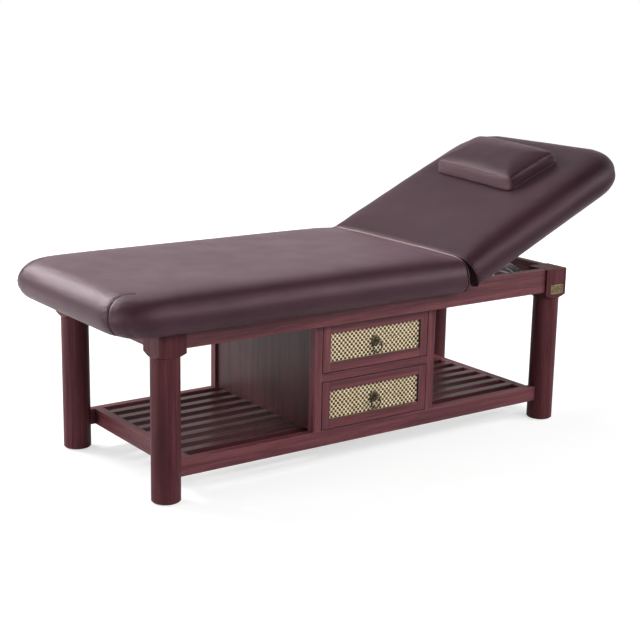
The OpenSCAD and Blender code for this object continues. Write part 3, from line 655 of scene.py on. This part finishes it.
def swell(ob, hold, pressure, cap, slack, stiffness=12.0):
    """Blows the piece up as cloth under pressure, from slack inside its surface and held where hold is 1.

    No point moves further than the cap."""
    set_points(ob, points_of(ob) - normals_of(ob) * (slack * (1 - hold))[:, None])
    rest = points_of(ob)
    group = ob.vertex_groups.new(name="hold")
    for level in range(1, 11):
        chosen = np.nonzero(np.round(hold * 10).astype(int) == level)[0]
        group.add(chosen.tolist(), level / 10, "REPLACE")
    cloth = ob.modifiers.new("cloth", "CLOTH")
    cloth.settings.quality = 5
    cloth.settings.mass = 0.3
    cloth.settings.tension_stiffness = cloth.settings.compression_stiffness = stiffness
    cloth.settings.shear_stiffness = stiffness / 2
    cloth.settings.bending_stiffness = 1.5
    cloth.settings.use_pressure = True
    cloth.settings.uniform_pressure_force = pressure
    cloth.settings.effector_weights.gravity = 0
    cloth.settings.vertex_group_mass = "hold"
    cloth.settings.pin_stiffness = 3
    cloth.collision_settings.use_collision = False
    cloth.point_cache.frame_start, cloth.point_cache.frame_end = 1, SIM_FRAMES
    for at in range(1, SIM_FRAMES + 1):
        scene.frame_set(at)
    done = ob.evaluated_get(bpy.context.evaluated_depsgraph_get())
    moved = np.zeros(len(rest) * 3, np.float32)
    done.data.vertices.foreach_get("co", moved)
    step = moved.reshape(-1, 3).astype(float) - rest
    far = np.linalg.norm(step, axis=1)
    step *= (cap * np.tanh(far / cap) / np.maximum(far, 1e-9))[:, None]
    ob.modifiers.remove(cloth)
    ob.vertex_groups.clear()
    set_points(ob, rest + step)
    scene.frame_set(1)


def subdivided(ob):
    """Applies one level of subdivision."""
    ob.modifiers.new("subdivision", "SUBSURF").levels = 1
    done = ob.evaluated_get(bpy.context.evaluated_depsgraph_get())
    mesh = bpy.data.meshes.new_from_object(done)
    old = ob.data
    name = old.name
    ob.modifiers.clear()
    ob.data = mesh
    bpy.data.meshes.remove(old)
    mesh.name = name
    mesh.shade_smooth()


def surface(ob):
    """The search tree of an object's faces."""
    bm = bmesh.new()
    bm.from_mesh(ob.data)
    tree = BVHTree.FromBMesh(bm)
    bm.free()
    return tree


def evenly(path, step):
    """The path's points at even steps."""
    path = [Vector(p) for p in path]
    lengths = [0.0]
    for a, b in zip(path, path[1:]):
        lengths.append(lengths[-1] + (b - a).length)
    count = max(2, round(lengths[-1] / step) + 1)
    places = []
    k = 0
    for i in range(count):
        at = lengths[-1] * i / (count - 1)
        while k < len(path) - 2 and lengths[k + 1] < at:
            k += 1
        places.append(path[k].lerp(path[k + 1], (at - lengths[k]) / max(lengths[k + 1] - lengths[k], 1e-9)))
    return places


def laid_on(tree, path, step):
    """The path's points on the surface at even steps, with the surface's normals."""
    found = [tree.find_nearest(p) for p in evenly(path, step)]
    places, normals = [f[0] for f in found], [f[1] for f in found]
    smooth = []
    for i in range(len(places)):
        near = normals[max(0, i - 4):i + 5]
        smooth.append(sum(near, Vector()).normalized())
    return places, smooth


def press_seam(ob, places, depth, width, pucker):
    """Sinks the surface along a seam, with small puckers beside it."""
    co, no = points_of(ob), normals_of(ob)
    line = np.array([tuple(p) for p in places])
    low, high = line.min(0) - 5 * width, line.max(0) + 5 * width
    near = np.nonzero(((co > low) & (co < high)).all(1))[0]
    if not len(near):
        return
    apart = np.linalg.norm(co[near][:, None] - line[None], axis=2)
    nearest, gap = apart.argmin(1), apart.min(1)
    along_seam = nearest * np.linalg.norm(line[1] - line[0])
    sink = depth * np.exp(-(gap / width) ** 2)
    ripple = pucker * np.cos(2 * math.pi * along_seam / PUCKER_PITCH) * np.exp(
        -((gap - PUCKER_ASIDE) / PUCKER_ASIDE) ** 2)
    co[near] -= no[near] * (sink + ripple)[:, None]
    set_points(ob, co)


def stitches(places, normals, offset):
    """Short thread stitches beside a seam."""
    parts = []
    step = (places[1] - places[0]).length
    pitch = max(2, round((STITCH_LONG + STITCH_GAP) / step))
    reach = max(1, round(STITCH_LONG / step))
    for i in range(0, len(places) - reach - 1, pitch):
        path, out = [], []
        for k in range(reach + 1):
            j = i + k
            ahead = (places[min(j + 1, len(places) - 1)] - places[max(j - 1, 0)]).normalized()
            aside = ahead.cross(normals[j])
            lift = 0.0004 * math.sin(math.pi * (k + 0.4) / (reach + 0.8)) - 0.0001
            path.append(places[j] + aside * offset + normals[j] * lift)
            out.append(normals[j])
        parts.append(tube(path, STITCH_R, 6, normals=out))
    return parts


def in_recess(pad, s, y, z, margin):
    """Which points lie in the hollow for the board, or within a margin of it."""
    return (np.abs(y) < RECESS_HALF_W + margin) & (s < pad.length - LIP_W + margin) & (z < RECESS_TOP + margin)


def pad_hold(pad, co):
    """Where a pad is held: on its board, round its hinge end and a little on its flat top."""
    s, y, z = pad.inside(co).T
    recess = in_recess(pad, s, y, z, 0.006)
    low = 1 - rise(z, PAD_BASE, 0.020)
    end = 1 - rise(s - END_GAP, 0.004, 0.045)
    hold = np.maximum(np.maximum(low, end ** 0.7), 0.12)
    hold[recess] = 1
    return hold


def fill_out(ob, pad):
    """Raises the top a little and brings what lies inside the CAD pad back out to its surface."""
    co, no = points_of(ob), normals_of(ob)
    s, y, z = pad.inside(co).T
    top = rise(z, -0.050, 0.050) * rise(s, 0.004, 0.080) ** 0.6
    co += no * (pad.proud * top)[:, None]
    tree = surface(nodes[pad.node])
    under = rise(-z, 0.055, 0.030)
    share = np.where(in_recess(pad, s, y, z, 0.012), 0, 1 - under * pad.slump)
    step = np.zeros_like(co)
    for i in np.nonzero(share)[0]:
        place, normal = tree.find_nearest(co[i])[:2]
        out = place - Vector(co[i])
        if out.dot(normal) > 0:
            step[i] = out
    set_points(ob, co + evened(ob, step * share[:, None], 2, np.full(len(co), 0.5)))


# where a corner seam runs: places on Pad.profile with their angles round the corner in degrees
DART = ((0.35, 24), (0.8, 20), (1.1, 18), (1.45, 15.5), (1.75, 15.5), (1.97, 19), (2.12, 27), (2.2, 38), (2.2, 50))
DART_STEPS = 6


def make_pad(pad):
    """The soft pad with its corner seams and the welt round its hinge end."""
    ob = soft_copy(pad.name, pad.node, PAD_VOXEL)
    hold = pad_hold(pad, points_of(ob))
    relax(ob, np.where(hold > 0.98, 0.75, 0.0), 6)
    swell(ob, hold, 3.5, PAD_SWELL, PAD_SLACK)
    relax(ob, np.where(hold > 0.98, 0.9, 0.0), 8)
    fill_out(ob, pad)
    subdivided(ob)
    s, _, z = pad.inside(points_of(ob)).T
    wavy(ob, (4.2, 5.0, 4.2), 7, PAD_WAVE * rise(z, -0.055, 0.03) * rise(s, 0.012, 0.06))
    # seams at the seat's two rounded corners; the backrest shows none
    seams = []
    for side in () if pad.tilted else (-1, 1):
        path = []
        for (u0, a0), (u1, a1) in zip(DART, DART[1:]):
            for k in range(DART_STEPS):
                share = k / DART_STEPS
                inset, height = pad.profile(u0 + (u1 - u0) * share)
                path.append(pad.edge_point(inset, height, math.radians(a0 + (a1 - a0) * share), side))
        press_seam(ob, laid_on(surface(ob), path, 0.0020)[0], 0.0020, 0.0036, 0.0006)
        seams.append(laid_on(surface(ob), path, 0.0016))
    ob.data.materials.clear()
    ob.data.materials.append(M["back" if pad.tilted else "pad"])
    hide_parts(pad.node)
    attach(ob, pad.body)
    if seams:
        lines = [tube([p + n * SEAM_PROUD for p, n in zip(*seam)], SEAM_R, 8, flat=SEAM_FLAT, normals=seam[1])
                 for seam in seams]
        threads = [part for seam in seams for offset in (-STITCH_ASIDE, STITCH_ASIDE)
                   for part in stitches(*seam, offset)]
        for kind, parts, material in (("_seams", lines, "seam"), ("_stitches", threads, "thread")):
            line = new_object(pad.name + kind, *joined(parts), M[material])
            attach(line, pad.body)
    # the welt, high enough over the hinge's barrel to hide it, with its ends tucked into the pad
    half = []
    for k in range(31):
        inset, height = pad.profile(0.40 + 1.60 * k / 30)
        half.append((PAD_HALF_W - inset - 0.0008, height - 0.0006))
    half[0] = (half[0][0] - 0.006, half[0][1] + 0.004)
    half[-1] = (half[-1][0], 0.0006)
    for inset, crown in ((1.30, 0.52), (1.9, 0.65), (3.0, 1.0), (4.5, 1.0)):
        half.append((PAD_HALF_W - inset * ROLL_R, CROWN * crown - 0.0002))
    path = [(WELT_S, -y, z) for y, z in half] + [(WELT_S, y, z) for y, z in reversed(half)]
    path = evenly([pad.out(p) for p in path], 0.006)
    # the seat's welt takes the leather with the painted highlight
    welt = new_object(pad.name + "_welt", *tube(path, WELT_R, 10), M["pad" if pad.tilted else "welt"])
    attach(welt, pad.body)


SEAT = Pad("seat_cushion", "seat_pad", "bed", 1.199, 0.130, False, 0.0070, 0.6)
BACK = Pad("backrest_cushion", "backrest_pad", "backrest", 0.749, 0.154, True, 0.0075, 0.0)


# ------------------------------------------------------------------ pillow

# of the solid pillow, as in part.scad
PILLOW_HALF_W, PILLOW_HALF_D, PILLOW_H = 0.210, 0.111, 0.064
PILLOW_S, PILLOW_Y, PILLOW_TURN, PILLOW_REST = 0.381 + PILLOW_HALF_D, 0.007, math.radians(-5), 0.0053
# of the soft one, which rests higher because the soft backrest does; the seams' levels are above its underside
PILLOW_LIFT, PILLOW_CORNER = 0.0118, 0.020
LOW_SEAM, HIGH_SEAM, SEAM_BAND = 0.0065, 0.0445, 0.004


def make_pillow():
    """The soft pillow with its two welts."""

    def out(p):
        """From the pillow's frame to the world's."""
        x, y, z = p
        s = PILLOW_S + x * math.cos(PILLOW_TURN) - y * math.sin(PILLOW_TURN)
        return BACK.out((s, PILLOW_Y + x * math.sin(PILLOW_TURN) + y * math.cos(PILLOW_TURN), PILLOW_LIFT + z))

    def inside(co, lift=PILLOW_LIFT):
        """From the world's frame to the pillow's, for many points."""
        s, y, z = BACK.inside(co).T
        s, y = s - PILLOW_S, y - PILLOW_Y
        return np.stack([s * math.cos(PILLOW_TURN) + y * math.sin(PILLOW_TURN),
                         y * math.cos(PILLOW_TURN) - s * math.sin(PILLOW_TURN), z - lift], 1)

    def lean(x, z):
        """How far the face towards the hinge leans back at a height."""
        return 0.013 * rise(z, 0, HIGH_SEAM) * rise(-x, 0, PILLOW_HALF_D) ** 2

    ob = soft_copy("head_pillow", "pillow", 0.0045)
    origin = np.array(out((0, 0, 0)))
    axes = np.array([np.array(out(e)) - origin for e in np.eye(3)])
    place = inside(points_of(ob), PILLOW_REST)
    x, y, z = place.T.copy()
    # leaned, domed, and sunk at its corners
    share_x, share_y = x / PILLOW_HALF_D, y / PILLOW_HALF_W
    dome = np.clip(1 - share_x ** 2, 0, 1) * np.clip(1 - share_y ** 2, 0, 1)
    corners = rise(np.abs(x), 0, PILLOW_HALF_D) ** 3 * rise(np.abs(y), 0, PILLOW_HALF_W) ** 5
    place[:, 0] += lean(x, z)
    place[:, 2] += (0.008 * dome - 0.008 * corners) * rise(z, 0, HIGH_SEAM) ** 2
    set_points(ob, origin + place @ axes)
    # held at its seams and where it lies
    seam = np.maximum(np.exp(-((z - LOW_SEAM) / SEAM_BAND) ** 2), 0.5 * np.exp(-((z - HIGH_SEAM) / SEAM_BAND) ** 2))
    rim = np.minimum(PILLOW_HALF_W - np.abs(y), PILLOW_HALF_D - np.abs(x)) < 0.012
    hold = np.maximum(np.where(rim, 0.75 * seam, 0), 1 - rise(z, 0, 0.004))
    relax(ob, hold * 0.6, 9)
    swell(ob, hold, 5.0, 0.010, 0.002, 8)
    relax(ob, hold * 0.6, 4)
    # stays above the backrest and within its height
    co = points_of(ob)
    z = inside(co)[:, 2]
    up = BACK.out((0, 0, 1)) - BACK.out((0, 0, 0))
    push = np.maximum(0.0002 - z, 0) - np.maximum(z - PILLOW_H - 0.011, 0)
    set_points(ob, co + np.array(up)[None] * push[:, None])
    subdivided(ob)
    wavy(ob, (14, 16, 14), 3, 0.0012 * rise(inside(points_of(ob))[:, 2], 0.004, 0.02))
    seams = []
    for level, inset, radius in ((LOW_SEAM, 0.0, 0.0016), (HIGH_SEAM, 0.0032, 0.0008)):
        path = []
        for x, y in rounded(PILLOW_HALF_D, PILLOW_HALF_W, PILLOW_CORNER, inset, 10, 10):
            path.append(out((x + lean(x, level), y, level)))
        path.append(path[0])
        press_seam(ob, laid_on(surface(ob), path, 0.003)[0][:-1], radius, 0.004, 0.0001)
        places, normals = laid_on(surface(ob), path, 0.003)
        seams.append(tube([p + n * SEAM_PROUD for p, n in zip(places[:-1], normals[:-1])], radius, 8, closed=True))
    ob.data.materials.clear()
    # painted light and shade: the pillow's leather is darkened, and its faces towards and away from the hinge are
    # painted lighter
    ob.data.materials.append(leather("leather_pillow", 0.65, gleam=0.75, tint=(
        True, tuple(out((1, 0, 0)) - out((0, 0, 0))), 0.35, 0.85, (0.105, 0.062, 0.072))))
    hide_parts("pillow")
    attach(ob, "pillow")
    welts = new_object("head_pillow_welts", *joined(seams), M["pad"])
    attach(welts, "pillow")


# ------------------------------------------------------- woven drawer panels

STRIPS_ACROSS, STRIPS_UP, STRIP_SHARE = 46, 13, 0.93
STRIP_RISE, STRIP_THICK, STEPS_A_CROSSING = 0.00075, 0.0006, 6
# across a strip: shares of its width and thickness
STRIP_SECTION = ((-0.5, -0.3), (-0.46, 0.25), (-0.2, 0.5), (0.2, 0.5), (0.46, 0.25), (0.5, -0.3), (0.2, -0.5),
                 (-0.2, -0.5))


def strip(start, ahead, aside, width, crossings, pitch, first_over):
    """One ribbon that passes over and under the others by turns."""
    verts = []
    rows = crossings * STEPS_A_CROSSING + 1
    for i in range(rows):
        t = i / STEPS_A_CROSSING
        over = math.sin(math.pi * t) * (1 if first_over else -1)
        over = math.copysign(abs(over) ** 0.6, over)
        for a, b in STRIP_SECTION:
            verts.append(start + ahead * (t * pitch) + aside * (a * width) +
                         Vector((0, -1, 0)) * (over * STRIP_RISE + b * STRIP_THICK))
    return verts, skinned(rows, len(STRIP_SECTION))


def weave(which):
    """A plain weave of flat strips, light ones upright and dark ones level, in the drawer front's opening."""
    low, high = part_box("drawer_%s_woven_panel" % which)
    step_x, step_z = (high.x - low.x) / STRIPS_ACROSS, (high.z - low.z) / STRIPS_UP
    middle_y = (low.y + high.y) / 2
    right, up = Vector((1, 0, 0)), Vector((0, 0, 1))
    upright = [strip(Vector((low.x + (i + 0.5) * step_x, middle_y, low.z)), up, right, step_x * STRIP_SHARE,
                     STRIPS_UP, step_z, i % 2 == 0) for i in range(STRIPS_ACROSS)]
    level = [strip(Vector((low.x, middle_y, low.z + (j + 0.5) * step_z)), right, -up, step_z * STRIP_SHARE,
                   STRIPS_ACROSS, step_x, j % 2 == 1) for j in range(STRIPS_UP)]
    light = new_object("drawer_%s_cane_light" % which, *joined(upright), M["cane_light"])
    dark = new_object("drawer_%s_cane_dark" % which, *joined(level), M["cane_dark"])
    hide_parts("drawer_%s_woven_panel" % which)
    for ob in (light, dark):
        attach(ob, "drawer_" + which)


# ------------------------------------------------------------ small fittings

PETALS, PETAL_RINGS, PETAL_TURNS = 10, 16, 160
PETAL_BORE, PETAL_RIM, PETAL_NOTCH = 0.40, 1.04, 0.126
BEADS, BEAD_R, BEADS_AT, BEADS_PROUD = 18, 0.0010, 0.44, 0.0034


def petals(which):
    """A scalloped relief of petals on the rosette behind the drop ring, in shares of the rosette's radius."""
    low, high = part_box("drawer_%s_rosette" % which)
    centre = Vector(((low.x + high.x) / 2, high.y, (low.z + high.z) / 2))
    radius = (high.x - low.x) / 2
    turns = PETAL_TURNS
    verts, faces = [], []
    for i in range(PETAL_RINGS):
        t = i / (PETAL_RINGS - 1)
        for k in range(turns):
            a = 2 * math.pi * k / turns
            lobe = abs(math.sin(PETALS / 2 * a))
            notch = PETAL_NOTCH * (1 - lobe ** 0.5)
            r = radius * PETAL_RIM * (PETAL_BORE + (1 - PETAL_BORE) * t * (1 - notch))
            height = 0.0030 + 0.0013 * lobe ** 0.7 * math.sin(math.pi * min(1, t * 1.05)) - 0.0026 * t ** 5
            verts.append(centre + Vector((r * math.cos(a), -height, r * math.sin(a))))
    for i in range(PETAL_RINGS - 1):
        for k in range(turns):
            a, b = i * turns + k, i * turns + (k + 1) % turns
            faces.append((a, a + turns, b + turns, b))
    # walls down to the rosette's back, and the back between them
    last, rim, bore = (n * turns for n in (PETAL_RINGS - 1, PETAL_RINGS, PETAL_RINGS + 1))
    for start in (last, 0):
        verts += [Vector((v.x, centre.y, v.z)) for v in verts[start:start + turns]]
    for k in range(turns):
        j = (k + 1) % turns
        faces += [(last + k, rim + k, rim + j, last + j), (k, j, bore + j, bore + k),
                  (rim + j, rim + k, bore + k, bore + j)]
    # a beaded ring round the boss
    beads = []
    for k in range(BEADS):
        a = 2 * math.pi * k / BEADS
        at = centre + Vector((math.cos(a) * radius * BEADS_AT, -BEADS_PROUD, math.sin(a) * radius * BEADS_AT))
        ball = bmesh.new()
        bmesh.ops.create_uvsphere(ball, u_segments=8, v_segments=6, radius=BEAD_R)
        beads.append(([at + v.co for v in ball.verts], [tuple(v.index for v in f.verts) for f in ball.faces]))
        ball.free()
    ob = new_object("drawer_%s_petals" % which, *joined([(verts, faces)] + beads), M["bronze"])
    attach(ob, "drawer_" + which)


def lathe(profile, centre, axis, turns=24):
    """A turned piece: (radius, height) pairs round an axis."""
    axis = Vector(axis).normalized()
    u = axis.orthogonal().normalized()
    v = axis.cross(u)
    verts = []
    for r, h in profile:
        for k in range(turns):
            a = 2 * math.pi * k / turns
            verts.append(Vector(centre) + axis * h + (u * math.cos(a) + v * math.sin(a)) * r)
    return verts, skinned(len(profile), turns)


PLATE_HALF_W, PLATE_HALF_H, PLATE_T, PLATE_CORNER = 0.0280, 0.0155, 0.0011, 0.003
PLATE_ASIDE, PLATE_Z, PIN_ASIDE = 0.0045, 0.4510, 0.0042


def blank_plate():
    """The small bare plate on the front post's block at the head end."""
    low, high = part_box("leg_front_head")
    middle = Vector(((low.x + high.x) / 2 + PLATE_ASIDE, low.y, PLATE_Z))
    # its edge, its raised rim and its sunk face
    levels = ((0.0, 0.0), (0.0, PLATE_T * 0.7), (0.0004, PLATE_T), (0.0018, PLATE_T), (0.0023, PLATE_T * 0.72))
    verts = [middle + Vector((x, -height, z)) for inset, height in levels
             for x, z in rounded(PLATE_HALF_W, PLATE_HALF_H, PLATE_CORNER, inset, 6, 5)]
    faces = skinned(len(levels), len(verts) // len(levels))
    plate = new_object("blank_plate", verts, faces, M["plate"], smooth=False)
    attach(plate, "bed")
    pins = [lathe([(0.0013, 0), (0.0013, 0.0012), (0.0010, 0.0018), (0.0004, 0.0021)],
                  middle + Vector((side * (PLATE_HALF_W - PIN_ASIDE), 0, 0)), (0, -1, 0), 16)
            for side in (-1, 1)]
    pin = new_object("blank_plate_pins", *joined(pins), M["plate"])
    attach(pin, "bed")


SCREW_HEAD = ((0.0040, 0.0), (0.0040, 0.0007), (0.0036, 0.0016), (0.0026, 0.0023), (0.0013, 0.0026),
              (0.0012, 0.0012))
RACK_SCREW_Z = 0.010
# of the boards and brackets, as in part.scad
BOARD_T, REST_GAP, BRACKET_T, BRACKET_S, BRACKET_Y, SCREW_ASIDE = 0.012, 0.0003, 0.004, 0.175, 0.2125, 0.016


def screws():
    """Pan-head screws on the racks and on the brackets of the support."""
    on_bed = []
    for name, inwards in (("support_rack_front", 1), ("support_rack_back", -1)):
        low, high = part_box(name)
        face = high.y if inwards > 0 else low.y
        for k in range(4):
            x = low.x + (high.x - low.x) * (0.1 + 0.8 * k / 3)
            on_bed.append(lathe(SCREW_HEAD, (x, face, low.z + RACK_SCREW_Z), (0, inwards, 0)))
    ob = new_object("rack_screws", *joined(on_bed), M["steel"])
    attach(ob, "bed")
    under = RECESS_TOP - BOARD_T + REST_GAP - BRACKET_T
    down = BACK.out((0, 0, -1)) - BACK.out((0, 0, 0))
    on_back = []
    for side in (-1, 1):
        for s in (BRACKET_S - SCREW_ASIDE, BRACKET_S + SCREW_ASIDE):
            on_back.append(lathe(SCREW_HEAD, BACK.out((s, side * BRACKET_Y, under)), down))
    ob = new_object("bracket_screws", *joined(on_back), M["steel"])
    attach(ob, "backrest")


# ------------------------------------------------------------------- stage

def unlit(n, mirrored=1.0):
    """1 for the camera, a lesser share for what mirrors and glass see, and 0 for what lights the bed."""
    path = n.new("LightPath")
    seen = n.math("MAXIMUM", path.outputs["Is Glossy Ray"], path.outputs["Is Transmission Ray"])
    return n.math("ADD", n.math("MULTIPLY", seen, mirrored), path.outputs["Is Camera Ray"])


FLOOR_REACH, FLOOR_GLOW, GLOW_FROM, GLOW_TO = 40, 0.62, 1.2, 3.2


def make_floor():
    """A pale floor that takes the shadow near the bed and turns white away from it."""
    n = Nodes("floor")
    away = n.new("VectorMath", operation="LENGTH")
    n.link(n.place, away.inputs[0])
    glow = n.span(away.outputs["Value"], GLOW_FROM, GLOW_TO, FLOOR_GLOW, 1.0)
    n.link(n.math("MULTIPLY", unlit(n, 0.4), glow), n.bsdf.inputs["Emission Strength"])
    n.bsdf.inputs["Emission Color"].default_value = (1, 1, 1, 1)
    mat = n.finish((0.50, 0.50, 0.50), 0.9, Specular_IOR_Level=0.0)
    corners = [(x * FLOOR_REACH, y * FLOOR_REACH, 0) for x, y in ((-1, -1), (1, -1), (1, 1), (-1, 1))]
    floor = new_object("floor", corners, [(0, 1, 2, 3)], mat, smooth=False)


def area(name, place, aim, size, power):
    """A rectangular lamp that faces its aim."""
    data = bpy.data.lights.new(name, "AREA")
    data.shape, data.size, data.size_y = "RECTANGLE", size[0], size[1]
    data.energy = power
    ob = bpy.data.objects.new(name, data)
    scene.collection.objects.link(ob)
    ob.location = place
    ob.rotation_mode = "QUATERNION"
    ob.rotation_quaternion = (Vector(aim) - Vector(place)).to_track_quat("-Z", "Y")


AMBIENT = 0.08


def make_light():
    """A white backdrop, weak ambient light, what mirrors see of the room, and the lamps."""
    n = Nodes("world", bpy.data.worlds)
    scene.world = n.owner
    back = n.tree.nodes["Background"]
    up = n.parts(n.new("TexCoord").outputs["Generated"])[2]
    room = n.span(up, 0.22, 0.60, 0.60, 0.08, "SMOOTHSTEP")
    seen = n.blend(unlit(n), AMBIENT, room)
    n.link(n.blend(n.new("LightPath").outputs["Is Camera Ray"], seen, 1.0), back.inputs["Strength"])
    back.inputs["Color"].default_value = (1, 1, 1, 1)
    centre = (0, 0, 0.5)
    area("top", (0.2, 2.3, 4.0), centre, (3.0, 1.6), 44)
    area("back", (-3.4, 3.0, 2.6), centre, (1.8, 1.8), 44)
    area("side", (4.1, -3.1, 3.1), centre, (2.6, 2.2), 135)
    area("front", (0.5, -4.5, 3.3), centre, (3.6, 2.4), 172)
    area("roll", (-1.9, 3.3, 2.9), (-0.9, 0, 0.55), (2.0, 0.5), 185)
    area("low", (-4.6, 0.2, 1.1), centre, (2.2, 1.2), 82)
    scene.view_settings.view_transform = "Standard"


make_camera()
make_pad(SEAT)
make_pad(BACK)
make_pillow()
for which in ("upper", "lower"):
    weave(which)
    petals(which)
blank_plate()
screws()
make_floor()
make_light()
